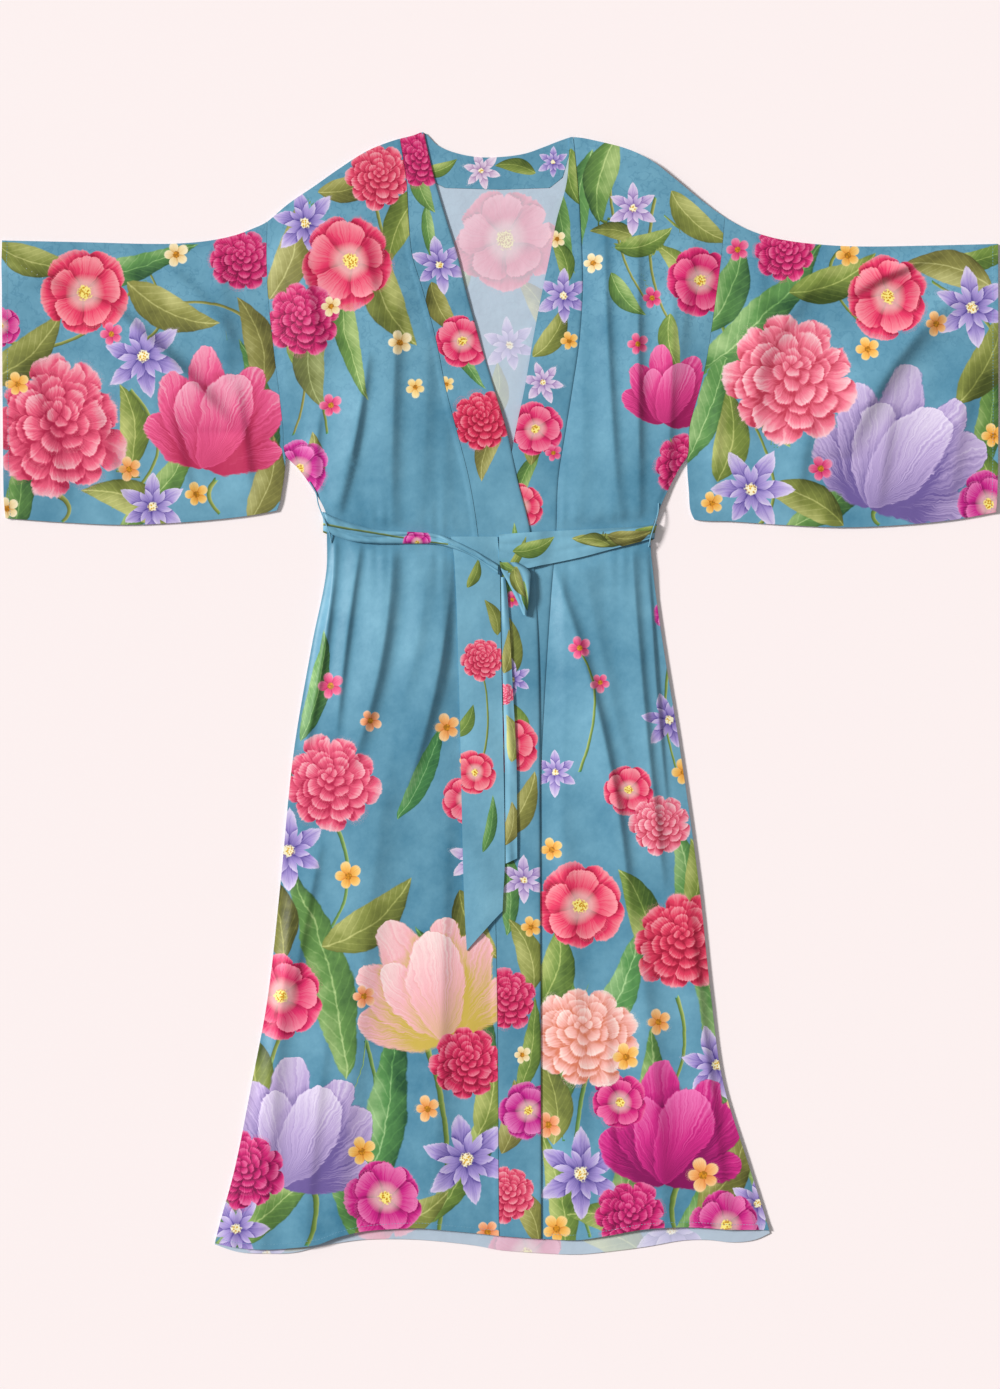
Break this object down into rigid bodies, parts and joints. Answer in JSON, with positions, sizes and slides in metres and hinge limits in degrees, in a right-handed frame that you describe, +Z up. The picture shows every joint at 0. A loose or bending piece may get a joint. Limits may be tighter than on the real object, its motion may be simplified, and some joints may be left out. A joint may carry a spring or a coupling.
{
  "type": "kimono robe",
  "caption": "Full-length kimono robe laid out flat, with wide sleeves, a banded crossover front, thread belt loops and its own tied belt with hanging ends.",
  "frame": {"origin": "on the surface the robe lies on, at the middle of its width from cuff to cuff and of its length from hem to neck", "axes": "+Z up from the surface, +Y up the robe from hem to neck, +X to the wearer's left sleeve"},
  "size_m": [1.1561, 1.3021, 0.0135],
  "materials": {
    "robe_satin": "soft satin printed with large flowers on teal",
    "back_satin": "the same satin, its paler wrong side showing in the neck and at the hem",
    "band_satin": "the same satin folded double and pressed",
    "belt_satin": "the same satin folded double, with small printed leaves and blooms",
    "thread": "chained sewing thread"
  },
  "bodies": {
    "root": {"back": "back_satin", "neckband_back": "band_satin", "front_right": "robe_satin", "front_left": "robe_satin", "band_right": "band_satin", "band_left": "band_satin", "sleeve_right_front": "robe_satin", "sleeve_right_back": "robe_satin", "sleeve_left_front": "robe_satin", "sleeve_left_back": "robe_satin", "belt_back": "belt_satin", "belt_right": "belt_satin", "belt_left": "belt_satin", "knot": "belt_satin", "tail_long": "belt_satin", "tail_short": "belt_satin", "loop_right": "thread", "loop_left": "thread"}
  },
  "joints": []
}
